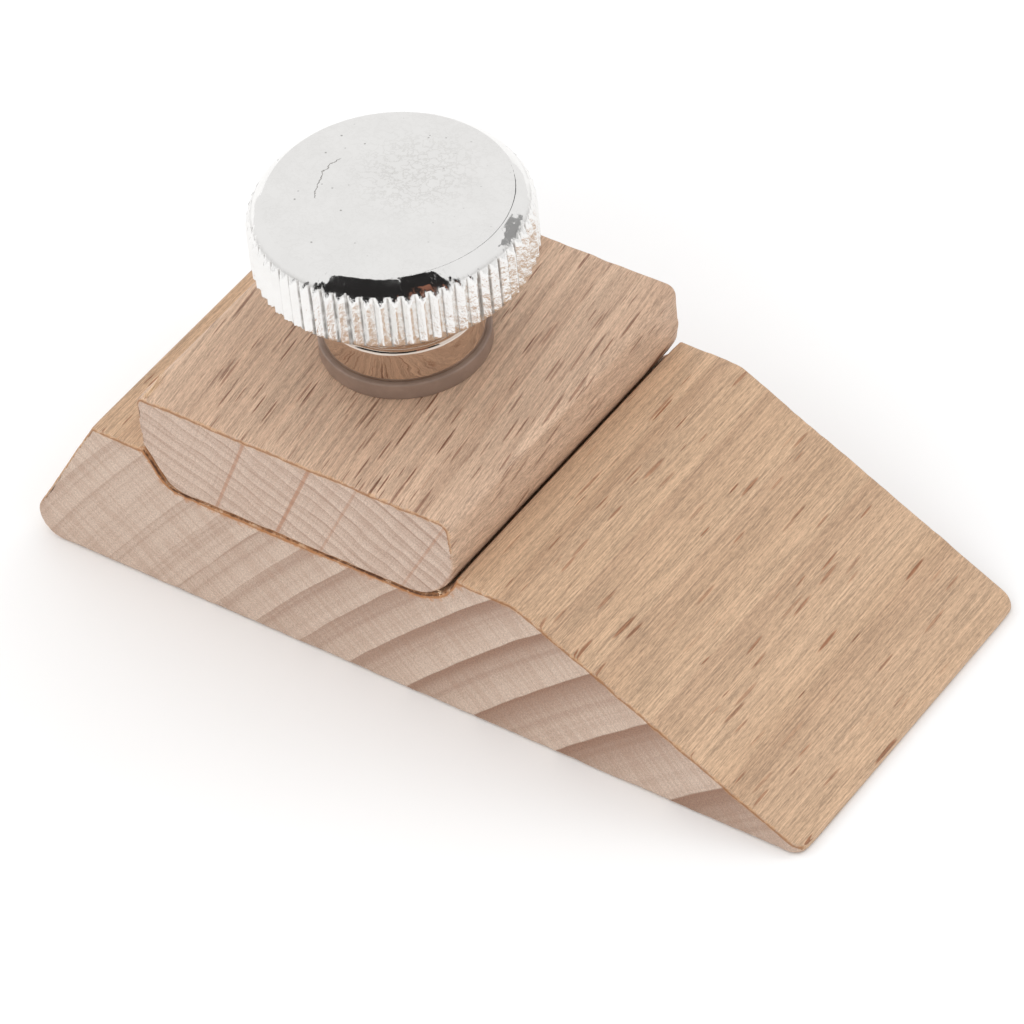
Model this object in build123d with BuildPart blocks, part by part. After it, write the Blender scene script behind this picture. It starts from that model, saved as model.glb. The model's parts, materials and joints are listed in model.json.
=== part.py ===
from build123d import *
import math
import os

# Beech sanding wedge that clamps an abrasive strip: a wedge block, a clamp plate seated in a
# recess across its top, and a knurled screw that pulls the plate down on the strip's two ends.
# Millimetres. The origin is on the sole, at the middle of the block's length and width.
# +X runs to the thin nose, +Y runs along the wood's grain across the width, +Z is up.

# Wedge block
block_length = 96.8
block_width = 42.0
block_height = 19.4
heel_angle = 58.5          # between the sole and the leaning heel face, degrees
heel_radius = 2.9          # rounding along the sole at the heel
heel_top_radius = 0.6
slope_angle = 28.9         # between the sole and the long slope, degrees
slope_top_radius = 4.5
nose_height = 0.95         # thickness left at the thin end
nose_radius = 0.35
nose_corner_radius = 1.6   # plan-view rounding of the two nose corners
edge_ease = 0.3            # sanded edge round the end-grain faces

# Clamp plate and the recess that it sits in
axis_from_heel = 36.25     # screw axis, from the heel end of the block
plate_length = 39.8
plate_thickness = 11.9
plate_top_radius = 1.2
flank_angle = 57.0         # slanted lower side next to the heel, degrees
flank_height = 5.1
flank_radius = 2.5
round_radius = 6.7         # quarter-round lower side next to the nose
seat_depth = 4.3
seat_clearance = 0.4       # left and right of the plate in its recess
seat_edge_radius = 0.4

# Screw: a cast head on a threaded steel stud
stud_radius = 4.0
stud_tip_gap = 0.6         # between the stud's tip and the bottom of the drilled hole
stud_hold = 10.0           # cast into the head
stud_tip_chamfer = 0.8
collar_radius = 8.65
collar_height = 4.2
collar_edge_radius = 0.6
neck_radius = 7.4
neck_height = 5.7
head_radius = 15.0
head_height = 8.25
head_lower_chamfer = 0.8
shoulder_drop = 2.35       # from the flat face down to where the knurl starts
shoulder_run = 2.05        # from the flat face's rim out to where the knurl starts
shoulder_bulge = 0.3
knurl_count = 64
knurl_depth = 0.7

# Washer and threaded insert
washer_overhang = 0.5      # outside the collar
washer_thickness = 2.0
washer_clearance = 0.3
washer_chamfer = 0.15
plate_hole_clearance = 0.5
thread_clearance = 0.05
insert_wall = 1.95
insert_sink = 0.2          # below the recess floor
insert_chamfer = 0.8
insert_slot_width = 1.5
insert_slot_depth = 1.6
insert_ring_count = 4      # biting rings round the outside, in place of a wood thread
insert_ring_pitch = 2.0
insert_ring_depth = 0.6
hole_floor = 3.0           # wood left under the drilled hole
hole_spare = 0.5           # drilled deeper than the insert

# Places worked out from the sizes above
heel_x = -block_length / 2
nose_x = block_length / 2
axis_x = heel_x + axis_from_heel
seat_z = block_height - seat_depth
plate_top_z = seat_z + plate_thickness
collar_z = plate_top_z + washer_thickness
neck_z = collar_z + collar_height
head_z = neck_z + neck_height
face_z = head_z + head_height
stud_tip_z = hole_floor + stud_tip_gap
insert_top_z = seat_z - insert_sink
insert_bottom_z = hole_floor + hole_spare
insert_radius = stud_radius + thread_clearance + insert_wall
heel_slope = math.tan(math.radians(heel_angle))
nose_slope = math.tan(math.radians(slope_angle))


def round_corner(sketch, x, z, radius):
    """Round the outline corner nearest to x, z in the block's side view."""
    corner = sketch.vertices().sort_by_distance((x, z, 0))[0]
    fillet(corner, radius)


def seat_section(side_gap, top_z, top_radius):
    """Side view of the clamp plate, widened by side_gap at both ends and closed at top_z."""
    left = axis_x - plate_length / 2 - side_gap
    right = axis_x + plate_length / 2 + side_gap
    flank_run = flank_height / math.tan(math.radians(flank_angle))
    with BuildSketch(Plane.XZ) as section:
        with BuildLine():
            Polyline(
                (right, top_z),
                (left, top_z),
                (left, seat_z + flank_height),
                (left + flank_run, seat_z),
                (right, seat_z),
                close=True,
            )
        make_face()
        round_corner(section, left + flank_run, seat_z, flank_radius)
        round_corner(section, right, seat_z, round_radius)
        if top_radius:
            round_corner(section, left, top_z, top_radius)
            round_corner(section, right, top_z, top_radius)
    return section.sketch


def ease_end_grain(part, radius):
    """Round the outline edges of the two flat end-grain faces."""
    ends = part.faces().filter_by(Axis.Y).sort_by(Axis.Y)
    fillet(ends[0].outer_wire().edges() + ends[-1].outer_wire().edges(), radius)


# The wedge block, with the recess across its top and the drilled hole for the insert
with BuildPart() as base_block:
    heel_corner_x = heel_x + heel_radius - heel_radius / math.tan(math.radians(heel_angle / 2))
    heel_top_x = heel_corner_x + block_height / heel_slope
    slope_top_x = nose_x - (block_height - nose_height) / nose_slope
    with BuildSketch(Plane.XZ) as side_view:
        with BuildLine():
            Polyline(
                (heel_corner_x, 0),
                (heel_top_x, block_height),
                (slope_top_x, block_height),
                (nose_x, nose_height),
                (nose_x, 0),
                close=True,
            )
        make_face()
        round_corner(side_view, heel_corner_x, 0, heel_radius)
        round_corner(side_view, heel_top_x, block_height, heel_top_radius)
        round_corner(side_view, slope_top_x, block_height, slope_top_radius)
        round_corner(side_view, nose_x, nose_height, nose_radius)
        round_corner(side_view, nose_x, 0, nose_radius)
    extrude(amount=block_width / 2, both=True)
    recess = seat_section(seat_clearance, block_height + flank_height, 0)
    extrude(recess, amount=block_width / 2, both=True, mode=Mode.SUBTRACT)
    top_edges = base_block.edges().filter_by(Axis.Y).group_by(Axis.Z)[-1].sort_by(Axis.X)
    fillet(top_edges[1:3], seat_edge_radius)
    with BuildSketch() as plan_view:
        Rectangle(block_length, block_width)
        fillet(plan_view.vertices().group_by(Axis.X)[-1], nose_corner_radius)
    extrude(amount=block_height, mode=Mode.INTERSECT)
    with BuildSketch(Plane.XY.offset(hole_floor)):
        with Locations((axis_x, 0)):
            Circle(insert_radius)
    extrude(amount=block_height, mode=Mode.SUBTRACT)
    ease_end_grain(base_block, edge_ease)
base_block.part.label = "base_block"

# The clamp plate, with a clearance hole for the stud
with BuildPart() as clamp_plate:
    extrude(seat_section(0, plate_top_z, plate_top_radius), amount=block_width / 2, both=True)
    with BuildSketch(Plane.XY.offset(seat_z)):
        with Locations((axis_x, 0)):
            Circle(stud_radius + plate_hole_clearance)
    extrude(amount=plate_thickness, mode=Mode.SUBTRACT)
    ease_end_grain(clamp_plate, edge_ease)
clamp_plate.part.label = "clamp_plate"

# The plastic washer between the plate and the head's collar
with BuildPart() as washer:
    with BuildSketch(Plane.XY.offset(plate_top_z)):
        with Locations((axis_x, 0)):
            Circle(collar_radius + washer_overhang)
            Circle(stud_radius + washer_clearance, mode=Mode.SUBTRACT)
    extrude(amount=washer_thickness)
    outer_rims = washer.edges().filter_by(GeomType.CIRCLE).group_by(SortBy.RADIUS)[-1]
    chamfer(outer_rims, washer_chamfer)
washer.part.label = "washer"

# The cast head: collar, neck and a knurled disc with a rounded shoulder
with BuildPart() as thumb_knob:
    with BuildSketch(Plane.XY.offset(head_z)) as knurl:
        with Locations((axis_x, 0)):
            Circle(head_radius)
            with PolarLocations(head_radius - knurl_depth, knurl_count):
                Polygon((0, 0), (2 * knurl_depth, knurl_depth * 2), (2 * knurl_depth, -knurl_depth * 2),
                        align=None, mode=Mode.SUBTRACT)
    extrude(amount=head_height)
    head_plane = Plane(origin=(axis_x, 0, head_z), x_dir=(1, 0, 0), z_dir=(0, -1, 0))
    with BuildSketch(head_plane) as head_profile:
        with BuildLine():
            shoulder_start = (head_radius, head_height - shoulder_drop)
            shoulder_end = (head_radius - shoulder_run, head_height)
            Polyline(
                shoulder_end,
                (0, head_height),
                (0, 0),
                (head_radius - head_lower_chamfer, 0),
                (head_radius, head_lower_chamfer),
                shoulder_start,
            )
            SagittaArc(shoulder_end, shoulder_start, shoulder_bulge)
        make_face()
    revolve(axis=Axis((axis_x, 0, 0), (0, 0, 1)), mode=Mode.INTERSECT)
    with BuildSketch(Plane.XY.offset(collar_z)):
        with Locations((axis_x, 0)):
            Circle(collar_radius)
    extrude(amount=collar_height)
    fillet(thumb_knob.edges().filter_by(GeomType.CIRCLE).filter_by_position(Axis.Z, collar_z, neck_z),
           collar_edge_radius)
    with BuildSketch(Plane.XY.offset(neck_z)):
        with Locations((axis_x, 0)):
            Circle(neck_radius)
    extrude(amount=neck_height)
    with BuildSketch(Plane.XY.offset(collar_z)):
        with Locations((axis_x, 0)):
            Circle(stud_radius)
    extrude(amount=stud_hold, mode=Mode.SUBTRACT)
thumb_knob.part.label = "thumb_knob"

# The stud, cast into the head, with its thread simplified to its outer diameter
with BuildPart() as knob_stud:
    with BuildSketch(Plane.XY.offset(stud_tip_z)):
        with Locations((axis_x, 0)):
            Circle(stud_radius)
    extrude(amount=collar_z + stud_hold - stud_tip_z)
    chamfer(knob_stud.edges().group_by(Axis.Z)[0], stud_tip_chamfer)
knob_stud.part.label = "knob_stud"

# The threaded insert in the block, with a driver slot across its top
with BuildPart() as threaded_insert:
    with BuildSketch(Plane.XY.offset(insert_bottom_z)):
        with Locations((axis_x, 0)):
            Circle(insert_radius)
            Circle(stud_radius + thread_clearance, mode=Mode.SUBTRACT)
    extrude(amount=insert_top_z - insert_bottom_z)
    lower_rim = threaded_insert.edges().group_by(Axis.Z)[0].sort_by(SortBy.RADIUS)[-1]
    chamfer(lower_rim, insert_chamfer)
    first_groove_z = insert_bottom_z + insert_chamfer + insert_ring_pitch / 2
    with BuildSketch(Plane.XZ):
        with Locations([(axis_x + insert_radius, first_groove_z + k * insert_ring_pitch)
                        for k in range(insert_ring_count)]):
            Polygon((-insert_ring_depth, 0), (insert_ring_depth, -2 * insert_ring_depth),
                    (insert_ring_depth, 2 * insert_ring_depth), align=None)
    revolve(axis=Axis((axis_x, 0, 0), (0, 0, 1)), mode=Mode.SUBTRACT)
    with BuildSketch(Plane.XY.offset(insert_top_z - insert_slot_depth)):
        with Locations((axis_x, 0)):
            Rectangle(2 * insert_radius, insert_slot_width)
    extrude(amount=insert_slot_depth, mode=Mode.SUBTRACT)
threaded_insert.part.label = "threaded_insert"

os.makedirs("parts", exist_ok=True)
for piece in (base_block, clamp_plate, washer, thumb_knob, knob_stud, threaded_insert):
    export_step(piece.part, f"parts/{piece.part.label}.step")
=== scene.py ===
import json
import math
import bmesh
import bpy
import numpy as np
from mathutils import Matrix, Vector


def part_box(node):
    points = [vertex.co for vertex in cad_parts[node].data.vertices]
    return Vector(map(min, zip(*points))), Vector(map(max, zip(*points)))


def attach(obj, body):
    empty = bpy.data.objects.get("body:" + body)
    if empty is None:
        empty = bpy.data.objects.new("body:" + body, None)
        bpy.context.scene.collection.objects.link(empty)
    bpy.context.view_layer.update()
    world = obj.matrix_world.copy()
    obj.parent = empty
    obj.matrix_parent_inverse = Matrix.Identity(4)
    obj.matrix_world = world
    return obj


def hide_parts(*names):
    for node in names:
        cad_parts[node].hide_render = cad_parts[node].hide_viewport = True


# A beech sanding wedge: a wedge block with a clamp plate seated across its top, a milky washer, and a
# chrome-plated knurled screw. Everything is in metres in the part's own frame: the origin is on the
# sole at mid-length and mid-width, +X runs to the thin nose, +Y along the grain, +Z up the screw.

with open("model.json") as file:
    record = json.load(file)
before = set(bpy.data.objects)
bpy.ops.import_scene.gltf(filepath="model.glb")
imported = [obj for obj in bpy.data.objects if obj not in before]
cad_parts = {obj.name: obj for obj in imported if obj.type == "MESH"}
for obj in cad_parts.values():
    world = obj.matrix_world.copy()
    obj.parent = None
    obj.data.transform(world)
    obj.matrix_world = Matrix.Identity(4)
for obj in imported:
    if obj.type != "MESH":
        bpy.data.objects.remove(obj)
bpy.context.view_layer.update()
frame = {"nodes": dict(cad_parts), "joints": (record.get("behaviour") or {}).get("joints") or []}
MM = 0.001
NO_EDGE = 9.0


# ---------------------------------------------------------------- outlines

def rounded(corners, radii, steps_per_turn=48):
    """Open outline through corners, each turned on an arc of its own radius.
    At a corner the arc starts and ends radius * tan(turn / 2) away from it along its two sides."""
    points = [np.array(corners[0], float)]
    for before, corner, after, radius in zip(corners[:-2], corners[1:-1], corners[2:], radii):
        before, corner, after = (np.array(p, float) for p in (before, corner, after))
        if radius == 0:
            points.append(corner)
            continue
        way_in = (corner - before) / np.linalg.norm(corner - before)
        way_out = (after - corner) / np.linalg.norm(after - corner)
        cross = way_in[0] * way_out[1] - way_in[1] * way_out[0]
        turn = math.atan2(cross, float(way_in @ way_out))
        side = np.array([-way_in[1], way_in[0]]) * math.copysign(1, turn)
        start = corner - way_in * radius * math.tan(abs(turn) / 2)
        centre = start + side * radius
        count = max(3, int(steps_per_turn * abs(turn) / math.pi))
        angles = np.linspace(0, turn, count)[:, None]
        spoke = start - centre
        arc = centre + np.hstack([spoke[0] * np.cos(angles) - spoke[1] * np.sin(angles),
                                  spoke[0] * np.sin(angles) + spoke[1] * np.cos(angles)])
        points.extend(arc)
    points.append(np.array(corners[-1], float))
    return np.array(points)


def turning_length(outline, bend_weight):
    """Running length along an outline, plus bend_weight for each radian that it has turned."""
    steps = np.diff(outline, axis=0)
    heading = np.unwrap(np.arctan2(steps[:, 1], steps[:, 0]))
    bend = np.abs(np.diff(heading, prepend=heading[0]))
    return np.concatenate([[0], np.cumsum(np.linalg.norm(steps, axis=1) + bend_weight * bend)])


def resample(outline, count, bend_weight=2 * MM):
    """The same outline with count points, closer together where it bends."""
    place = turning_length(outline, bend_weight)
    want = np.linspace(0, place[-1], count)
    return np.column_stack([np.interp(want, place, outline[:, k]) for k in (0, 1)])


def matched(outline, partner, split_x, end_x):
    """Points on outline, as many as partner has. Between split_x and end_x each is straight below its
    partner, and before and after that the two outlines keep an even progress along X."""
    place = turning_length(outline, 0)
    bottom = np.argmin(outline[:, 0])
    split, end = (np.interp(x, outline[bottom:, 0], place[bottom:]) for x in (split_x, end_x))
    x = np.maximum.accumulate(partner[:, 0])
    middle = np.interp(x, outline[bottom:, 0], place[bottom:])
    first = (x - x[0]) / (split_x - x[0]) * split
    last = end + (x - end_x) / (x[-1] - end_x) * (place[-1] - end)
    want = np.where(x < split_x, first, np.where(x > end_x, last, middle))
    want = 0.97 * want + 0.03 * np.linspace(0, place[-1], len(x))
    return np.column_stack([np.interp(want, place, outline[:, k]) for k in (0, 1)])


def ripple(place, wavelength, seed):
    """Smooth random height between -1 and 1 along a line: cosine blends between seeded knots."""
    knots = np.random.default_rng(seed).uniform(-1, 1, 4096)
    cell = np.asarray(place) / wavelength + 500
    whole = np.floor(cell).astype(int)
    blend = (1 - np.cos((cell - whole) * np.pi)) / 2
    return knots[whole] * (1 - blend) + knots[whole + 1] * blend


# ---------------------------------------------------------------- meshes

def grid_quads(index):
    """Quads of a grid, given its two-dimensional array of vertex numbers."""
    return np.stack([index[:-1, :-1], index[1:, :-1], index[1:, 1:], index[:-1, 1:]], -1).reshape(-1, 4)


def closed_tube(rings):
    """Vertices and quads of a tube: rings is (ring, point, xyz), joined end to end round each ring."""
    count, around = rings.shape[:2]
    index = np.arange(count * around).reshape(count, around)
    return rings.reshape(-1, 3), grid_quads(np.hstack([index, index[:, :1]]))


def make_piece(name, verts, quads, body, node, material, attributes=None, smooth_angle=35):
    """A mesh object from arrays, welded and turned outwards. It rides on body and stands for node."""
    mesh = bpy.data.meshes.new(name)
    mesh.from_pydata(verts.tolist(), [], quads.tolist())
    for label, values in (attributes or {}).items():
        layer = mesh.attributes.new(label, "FLOAT", "POINT")
        layer.data.foreach_set("value", np.asarray(values, np.float32))
    work = bmesh.new()
    work.from_mesh(mesh)
    bmesh.ops.remove_doubles(work, verts=work.verts, dist=1e-7)
    bmesh.ops.dissolve_degenerate(work, edges=work.edges, dist=1e-7)
    bmesh.ops.recalc_face_normals(work, faces=work.faces)
    work.to_mesh(mesh)
    work.free()
    mesh.materials.append(material)
    mesh.shade_smooth()
    mesh.set_sharp_from_angle(angle=math.radians(smooth_angle))
    piece = bpy.data.objects.new(name, mesh)
    bpy.context.scene.collection.objects.link(piece)
    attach(piece, body)
    if node:
        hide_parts(node)
    return piece


def eased_depths(half_width, ease, middle_count, ease_count=5):
    """Places across the width, and how far the outline is drawn in at each: a quarter round of radius
    ease at both end-grain faces, inset = ease - sqrt(ease^2 - (ease - depth)^2)."""
    depth = ease * (1 - np.cos(np.linspace(0, np.pi / 2, ease_count)))
    inset = ease - np.sqrt(np.maximum(ease ** 2 - (ease - depth) ** 2, 0))
    middle = np.linspace(-half_width + ease, half_width - ease, middle_count)
    places = np.concatenate([-half_width + depth, middle[1:-1], (half_width - depth)[::-1]])
    insets = np.concatenate([inset, np.zeros(middle_count - 2), inset[::-1]])
    return places, insets


def inward(outline_loop):
    """Unit normals into a closed counter-clockwise outline, from the chord between its neighbours."""
    chord = np.roll(outline_loop, -1, 0) - np.roll(outline_loop, 1, 0)
    chord /= np.maximum(np.linalg.norm(chord, axis=1, keepdims=True), 1e-12)
    return np.column_stack([-chord[:, 1], chord[:, 0]])


def wooden_block(lower, upper, half_width, ease, wobble, seed, hole):
    """Closed surface of a block whose end outline lies between two matched side-view curves.
    The end faces are ruled between lower and upper, the skin is that outline carried along Y and drawn
    in at both ends by eased_depths, and hole = (axis_x, radius, floor_z or None) is let into the upper
    side, through to the lower side where floor_z is None: its rim grid is a straight blend from the
    rectangle round it to the circle. Returns vertices, quads and the attributes rim and end_grain."""
    count = len(upper)
    levels = (1 - np.cos(np.linspace(0, np.pi, 31))) / 2
    places, insets = eased_depths(half_width, ease, 46)
    start_side = lower[0] + (upper[0] - lower[0]) * levels[:, None]
    end_side = lower[-1] + (upper[-1] - lower[-1]) * levels[:, None]
    loop = np.vstack([lower, end_side[1:-1], upper[::-1], start_side[1:-1][::-1]])
    around = np.concatenate([[0], np.cumsum(np.linalg.norm(np.diff(loop, axis=0), axis=1))])
    normals = inward(loop)
    near_end = np.exp(-(half_width - np.abs(places)) / (0.8 * MM))
    rough = ripple(around, 2.2 * MM, seed)[None] + 0.6 * ripple(around, 0.8 * MM, seed + 1)[None]
    front_rough = near_end[:, None] * np.where(places[:, None] < 0, rough, rough[:, ::-1])
    drawn_in = insets[:, None] + wobble * np.maximum(0, 1 + front_rough) * near_end[:, None]
    skin = loop[None] + normals[None] * drawn_in[..., None]
    skin = np.stack([skin[..., 0], np.broadcast_to(places[:, None], skin.shape[:2]), skin[..., 1]], -1)
    rows, columns = skin.shape[:2]

    lower_i = np.arange(count)
    end_i = np.arange(count, count + len(levels) - 2)
    upper_i = np.arange(count + len(levels) - 2, 2 * count + len(levels) - 2)[::-1]
    start_i = np.arange(2 * count + len(levels) - 2, columns)[::-1]
    start_i = np.concatenate([[0], start_i, [upper_i[0]]])
    end_i = np.concatenate([[lower_i[-1]], end_i, [upper_i[-1]]])

    verts, quads = [skin.reshape(-1, 3)], []
    skin_index = np.arange(rows * columns).reshape(rows, columns)
    skin_rim = np.repeat((half_width - np.abs(places))[:, None] / MM, columns, 1)
    skin_rim[:, lower_i] = NO_EDGE
    rim = [skin_rim.ravel()]
    end_grain = [np.repeat(np.clip(insets / ease, 0, 1), columns)]
    base = rows * columns

    # End faces, ruled between the drawn-in lower and upper curves
    for row in (0, rows - 1):
        low, high = skin[row, lower_i], skin[row, upper_i]
        face = low[None] + (high - low)[None] * levels[:, None, None]
        face[:, 0] = skin[row, start_i]
        face[:, -1] = skin[row, end_i]
        gap = (1 - levels)[:, None] * np.linalg.norm(high - low, axis=1)[None]
        gap[0] = NO_EDGE * MM
        verts.append(face.reshape(-1, 3))
        quads.append(grid_quads(base + np.arange(face.shape[0] * face.shape[1]).reshape(face.shape[:2])))
        rim.append(gap.ravel() / MM)
        end_grain.append(np.ones(gap.size))
        base += gap.size

    # The skin round the block, with a rectangle left out round each mouth of the hole
    axis_x, radius, floor_z = hole
    patch = radius * 1.35
    inner = np.abs(places) < patch
    r0, r1 = np.flatnonzero(inner)[[0, -1]]
    near = np.flatnonzero(np.abs(upper[:, 0] - axis_x) < patch)
    c0, c1 = near[0], near[-1]
    whole = {"upper": skin_index[:, upper_i], "lower": skin_index[:, lower_i]}
    open_sides = ["upper"] if floor_z is not None else ["upper", "lower"]
    for side, index in whole.items():
        cells = np.stack([index[:-1, :-1], index[1:, :-1], index[1:, 1:], index[:-1, 1:]], -1)
        keep = np.ones(cells.shape[:2], bool)
        if side in open_sides:
            keep[r0:r1, c0:c1] = False
        quads.append(cells[keep])
    for index in (start_i, end_i):
        quads.append(grid_quads(skin_index[:, index]))

    mouths = []
    flat = skin.reshape(-1, 3)
    for side in open_sides:
        index = whole[side]
        border = np.concatenate([index[r0, c0:c1], index[r0:r1, c1],
                                 index[r1, c1:c0:-1], index[r1:r0:-1, c0]])
        outer = flat[border]
        angle = np.arctan2(outer[:, 1], outer[:, 0] - axis_x)
        circle = np.column_stack([axis_x + radius * np.cos(angle), radius * np.sin(angle), outer[:, 2]])
        blend = np.linspace(0, 1, 7)[:, None, None]
        rings = outer[None] + (circle - outer)[None] * blend
        mouths.append(circle)
        tube, tube_quads = closed_tube(rings)
        verts.append(tube)
        quads.append(tube_quads + base)
        rim.append(np.full(len(tube), NO_EDGE))
        end_grain.append(np.zeros(len(tube)))
        base += len(tube)
    top = mouths[0]
    if floor_z is None:
        bore = top[None] + (mouths[1] - top)[None] * np.linspace(0, 1, 9)[:, None, None]
    else:
        down = np.linspace(0, 1, 9)[:, None]
        bore = np.repeat(top[None], 9, 0)
        bore[..., 2] = top[:, 2] + (floor_z - top[:, 2]) * down
        centre = np.array([axis_x, 0, floor_z])
        bottom = centre + (bore[-1] - centre)[None] * np.linspace(1, 0, 5)[1:, None, None]
        bore = np.vstack([bore, bottom])
    tube, tube_quads = closed_tube(bore)
    verts.append(tube)
    quads.append(tube_quads + base)
    rim.append(np.full(len(tube), NO_EDGE))
    end_grain.append(np.zeros(len(tube)))
    return (np.vstack(verts), np.vstack(quads),
            {"rim": np.concatenate(rim), "end_grain": np.concatenate(end_grain)})


# ---------------------------------------------------------------- sizes shared with the part

block_low, block_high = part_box("base_block")
plate_low, plate_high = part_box("clamp_plate")
washer_low, washer_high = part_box("washer")
knob_low, knob_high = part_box("thumb_knob")
stud_low, stud_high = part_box("knob_stud")
screw = next(j for j in frame["joints"] if j["name"] == "knob_spin")
axis_x = screw["pos_m"][0]
half_width = block_high.y
seat_z = plate_low.z
block_top_z = block_high.z

heel_angle = math.radians(58.5)
slope_angle = math.radians(28.9)
heel_radius = 2.9 * MM
nose_height = 0.95 * MM
nose_radius = 0.35 * MM
seat_gap = 0.4 * MM
flank_height = 5.1 * MM
flank_slope = math.tan(math.radians(57))
flank_run = flank_height / flank_slope
flank_radius = 2.5 * MM
round_radius = 6.7 * MM
hole_floor_z = 3.0 * MM
insert_radius = 6.0 * MM
plate_hole_radius = 4.5 * MM
thread_pitch = 1.25 * MM
head_radius = 15.0 * MM
head_height = 8.25 * MM
neck_height = 5.7 * MM
neck_radius = 7.4 * MM
collar_radius = 8.65 * MM
stud_bore_radius = 4.02 * MM
thread_crest_radius = 3.98 * MM
thread_depth = 0.68 * MM
flute_count = 64
flute_floor_radius = 14.32 * MM


def block_outline():
    """Lower and upper side-view curves of the wedge block, matched point for point."""
    heel_corner = block_low.x + heel_radius - heel_radius / math.tan(heel_angle / 2)
    heel_top = heel_corner + block_top_z / math.tan(heel_angle)
    slope_top = block_high.x - (block_top_z - nose_height) / math.tan(slope_angle)
    heel_tangent = heel_radius / math.tan(heel_angle / 2) + 0.5 * MM
    heel_start = (heel_corner + heel_tangent * math.cos(heel_angle), heel_tangent * math.sin(heel_angle))
    lower = rounded([heel_start, (heel_corner, 0), (block_high.x, 0), (block_high.x, 0.45 * MM)],
                    [heel_radius, nose_radius])
    left = plate_low.x - seat_gap
    right = plate_high.x + seat_gap
    seat = rounded([(left, seat_z + flank_height), (left + flank_run, seat_z), (right, seat_z),
                    (right, seat_z + round_radius + MM)], [flank_radius, round_radius])
    below = seat[seat[:, 1] < block_top_z - 0.25 * MM]
    rise = block_top_z - seat_z
    exit_x = right - round_radius + math.sqrt(round_radius ** 2 - (round_radius - rise) ** 2)
    flank_x = left + (seat_z + flank_height - block_top_z) / flank_slope
    heel_side = (heel_top - MM * math.cos(heel_angle), block_top_z - MM * math.sin(heel_angle))
    corners = [heel_side, (heel_top, block_top_z), (flank_x, block_top_z), *below, (exit_x, block_top_z),
               (slope_top, block_top_z), (block_high.x, nose_height), (block_high.x, 0.65 * MM)]
    radii = [0.6 * MM, 0.4 * MM, *np.zeros(len(below)), 0.4 * MM, 4.5 * MM, nose_radius]
    upper = resample(rounded(corners, radii), 400)
    return matched(lower, upper, left - MM, block_high.x - MM), upper


def plate_outline():
    """Lower and upper side-view curves of the clamp plate, matched point for point."""
    left, right, top = plate_low.x, plate_high.x, plate_high.z
    lower = rounded([(left, seat_z + flank_height + 0.5 * MM), (left, seat_z + flank_height),
                     (left + flank_run, seat_z), (right, seat_z), (right, seat_z + round_radius + 0.5 * MM)],
                    [0.8 * MM, flank_radius, round_radius])
    upper = rounded([(left, top - 1.9 * MM), (left, top), (right, top), (right, top - 1.9 * MM)],
                    [1.1 * MM, 1.3 * MM])
    upper = resample(upper, 260)
    return matched(lower, upper, left + 4 * MM, right - 7 * MM), upper


def turned(profile, columns, shape=None):
    """Rings of a turned piece about the screw's axis. profile is (radius, height) down its outside, and
    shape(radius, height, angle) may draw the radius in, as flutes and threads do."""
    angle = np.arange(columns) * 2 * np.pi / columns
    radius = np.repeat(profile[:, :1], columns, 1)
    height = np.repeat(profile[:, 1:], columns, 1)
    if shape:
        radius = shape(radius, height, np.broadcast_to(angle, radius.shape))
    return np.stack([axis_x + radius * np.cos(angle), radius * np.sin(angle), height], -1)


def knob_profile():
    """Outside of the head from the middle of its top face down to its bore, as (radius, height)."""
    top = knob_high.z
    head_z = top - head_height
    neck_z = head_z - neck_height
    collar_z = knob_low.z
    face = head_radius - 2.05 * MM
    shoulder = [face + 1.2 * MM, top - 0.95 * MM]
    corners = [(0, top), (face, top), shoulder, (head_radius, top - 2.35 * MM),
               (head_radius, head_z + 0.8 * MM), (head_radius - 0.8 * MM, head_z), (neck_radius, head_z),
               (neck_radius, neck_z), (collar_radius, neck_z), (collar_radius, collar_z),
               (stud_bore_radius, collar_z), (stud_bore_radius, stud_high.z), (0, stud_high.z)]
    radii = [0.35 * MM, 3.0 * MM, 0.5 * MM, 0.15 * MM, 0.15 * MM, 0.8 * MM, 0.2 * MM, 0.6 * MM, 0.15 * MM,
             0.15 * MM, 0.05 * MM]
    return resample(rounded(corners, radii), 146, 2.2 * MM)


def knurled(radius, height, angle):
    """Straight V flutes round the head: the radius is at most the flute's floor plus the distance from
    the flute's middle, rounded at floor and crest, each flute a little uneven as cast ones are."""
    place = angle * flute_count / (2 * np.pi)
    number = np.floor(place + 0.5).astype(int) % flute_count
    uneven = np.random.default_rng(3).uniform(-1, 1, (3, flute_count))
    pitch = 2 * np.pi * head_radius / flute_count
    across = np.abs(place - np.floor(place + 0.5) - 0.03 * uneven[0][number]) * pitch
    floor = flute_floor_radius + 0.06 * MM * uneven[1][number]
    flute = floor + np.sqrt(across ** 2 + (0.1 * MM) ** 2) * 1.02 - 0.06 * MM
    in_head = height > knob_high.z - 8.3 * MM
    return np.where(in_head, np.minimum(radius, flute), radius)


def washer_profile():
    """Section of the washer, down its outside and back up its bore."""
    outer, inner, ease = 9.15 * MM, 4.3 * MM, 0.2 * MM
    low, high = washer_low.z, washer_high.z
    corners = [(inner, (low + high) / 2), (inner, high), (outer, high), (outer, low), (inner, low),
               (inner, (low + high) / 2)]
    return resample(rounded(corners, [ease, ease, ease, ease]), 40)


def thread_profile():
    """Heights down the stud, from the middle of its top to the middle of its tip, with its radius."""
    top, tip = stud_high.z, stud_low.z
    corners = [(0, top), (4.0 * MM, top), (4.0 * MM, tip + 0.8 * MM), (3.2 * MM, tip), (0, tip)]
    return resample(rounded(corners, [0.05 * MM, 0.05 * MM, 0.05 * MM]), 560, 0)


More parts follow.
